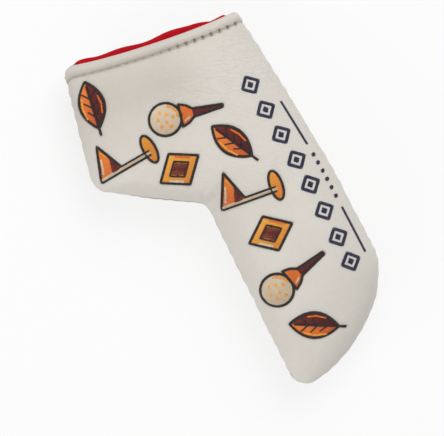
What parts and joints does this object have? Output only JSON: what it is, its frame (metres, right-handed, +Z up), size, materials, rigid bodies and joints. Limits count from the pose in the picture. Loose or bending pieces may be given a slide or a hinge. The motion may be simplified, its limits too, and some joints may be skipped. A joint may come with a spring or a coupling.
{
  "type": "putter head cover",
  "caption": "Padded boot-shaped cover for a blade putter head, lying on its back, with a red lining and a mouth along the heel side whose soft lips fold open.",
  "frame": {"origin": "under the middle of the cover's bounding box, on the surface that its back panel rests on", "axes": "+X from the toe of the head pocket to the mouth, +Y from the sole to the top of the neck, +Z up through the front panel"},
  "size_m": [0.1676, 0.0974, 0.0448],
  "materials": {
    "shell_leather": "off-white pebbled synthetic leather, satin",
    "padding": "soft open-cell foam",
    "lining": "bright red brushed knit lining",
    "seam_thread": "off-white polyester sewing thread",
    "orange_thread": "satin-stitched embroidery thread",
    "amber_thread": "satin-stitched embroidery thread",
    "maroon_thread": "satin-stitched embroidery thread",
    "cream_thread": "satin-stitched embroidery thread",
    "navy_thread": "satin-stitched embroidery thread",
    "hook_tape": "black nylon hook tape",
    "loop_tape": "black nylon loop tape"
  },
  "bodies": {
    "cover_body": {"front_outer_panel": "shell_leather", "back_outer_panel": "shell_leather", "front_foam_pad": "padding", "back_foam_pad": "padding", "front_lining": "lining", "back_lining": "lining", "front_hem": "shell_leather", "back_hem": "shell_leather", "front_hem_stitches": "seam_thread", "back_hem_stitches": "seam_thread", "perimeter_seam_stitches": "seam_thread", "front_flag_motifs": "orange_thread", "front_tee_motifs": "cream_thread", "front_leaf_motifs": "maroon_thread", "front_diamond_motifs": "amber_thread", "front_border": "navy_thread", "back_motifs": "cream_thread"},
    "front_lip": {"front_lip_panel": "shell_leather", "front_lip_foam": "padding", "front_lip_lining": "lining", "front_lip_hem": "shell_leather", "front_lip_hem_stitches": "seam_thread", "hook_tape": "hook_tape", "hook_tape_stitches": "seam_thread"},
    "back_lip": {"back_lip_panel": "shell_leather", "back_lip_foam": "padding", "back_lip_lining": "lining", "back_lip_hem": "shell_leather", "back_lip_hem_stitches": "seam_thread", "loop_tape": "loop_tape", "loop_tape_stitches": "seam_thread"}
  },
  "joints": [
    {"name": "front_lip_fold", "type": "hinge", "parent": "cover_body", "child": "front_lip", "pos_m": [0.05484, 0.00283, 0.0345], "axis": [-0.1312, -0.9914, 0], "range_deg": [0, 30], "stiffness_Nm_per_rad": 0.05, "springref_deg": -2.86},
    {"name": "back_lip_fold", "type": "hinge", "parent": "cover_body", "child": "back_lip", "pos_m": [0.05484, 0.00283, 0.0055], "axis": [0.1312, 0.9914, 0], "range_deg": [0, 14], "stiffness_Nm_per_rad": 0.05, "springref_deg": -5.73}
  ]
}
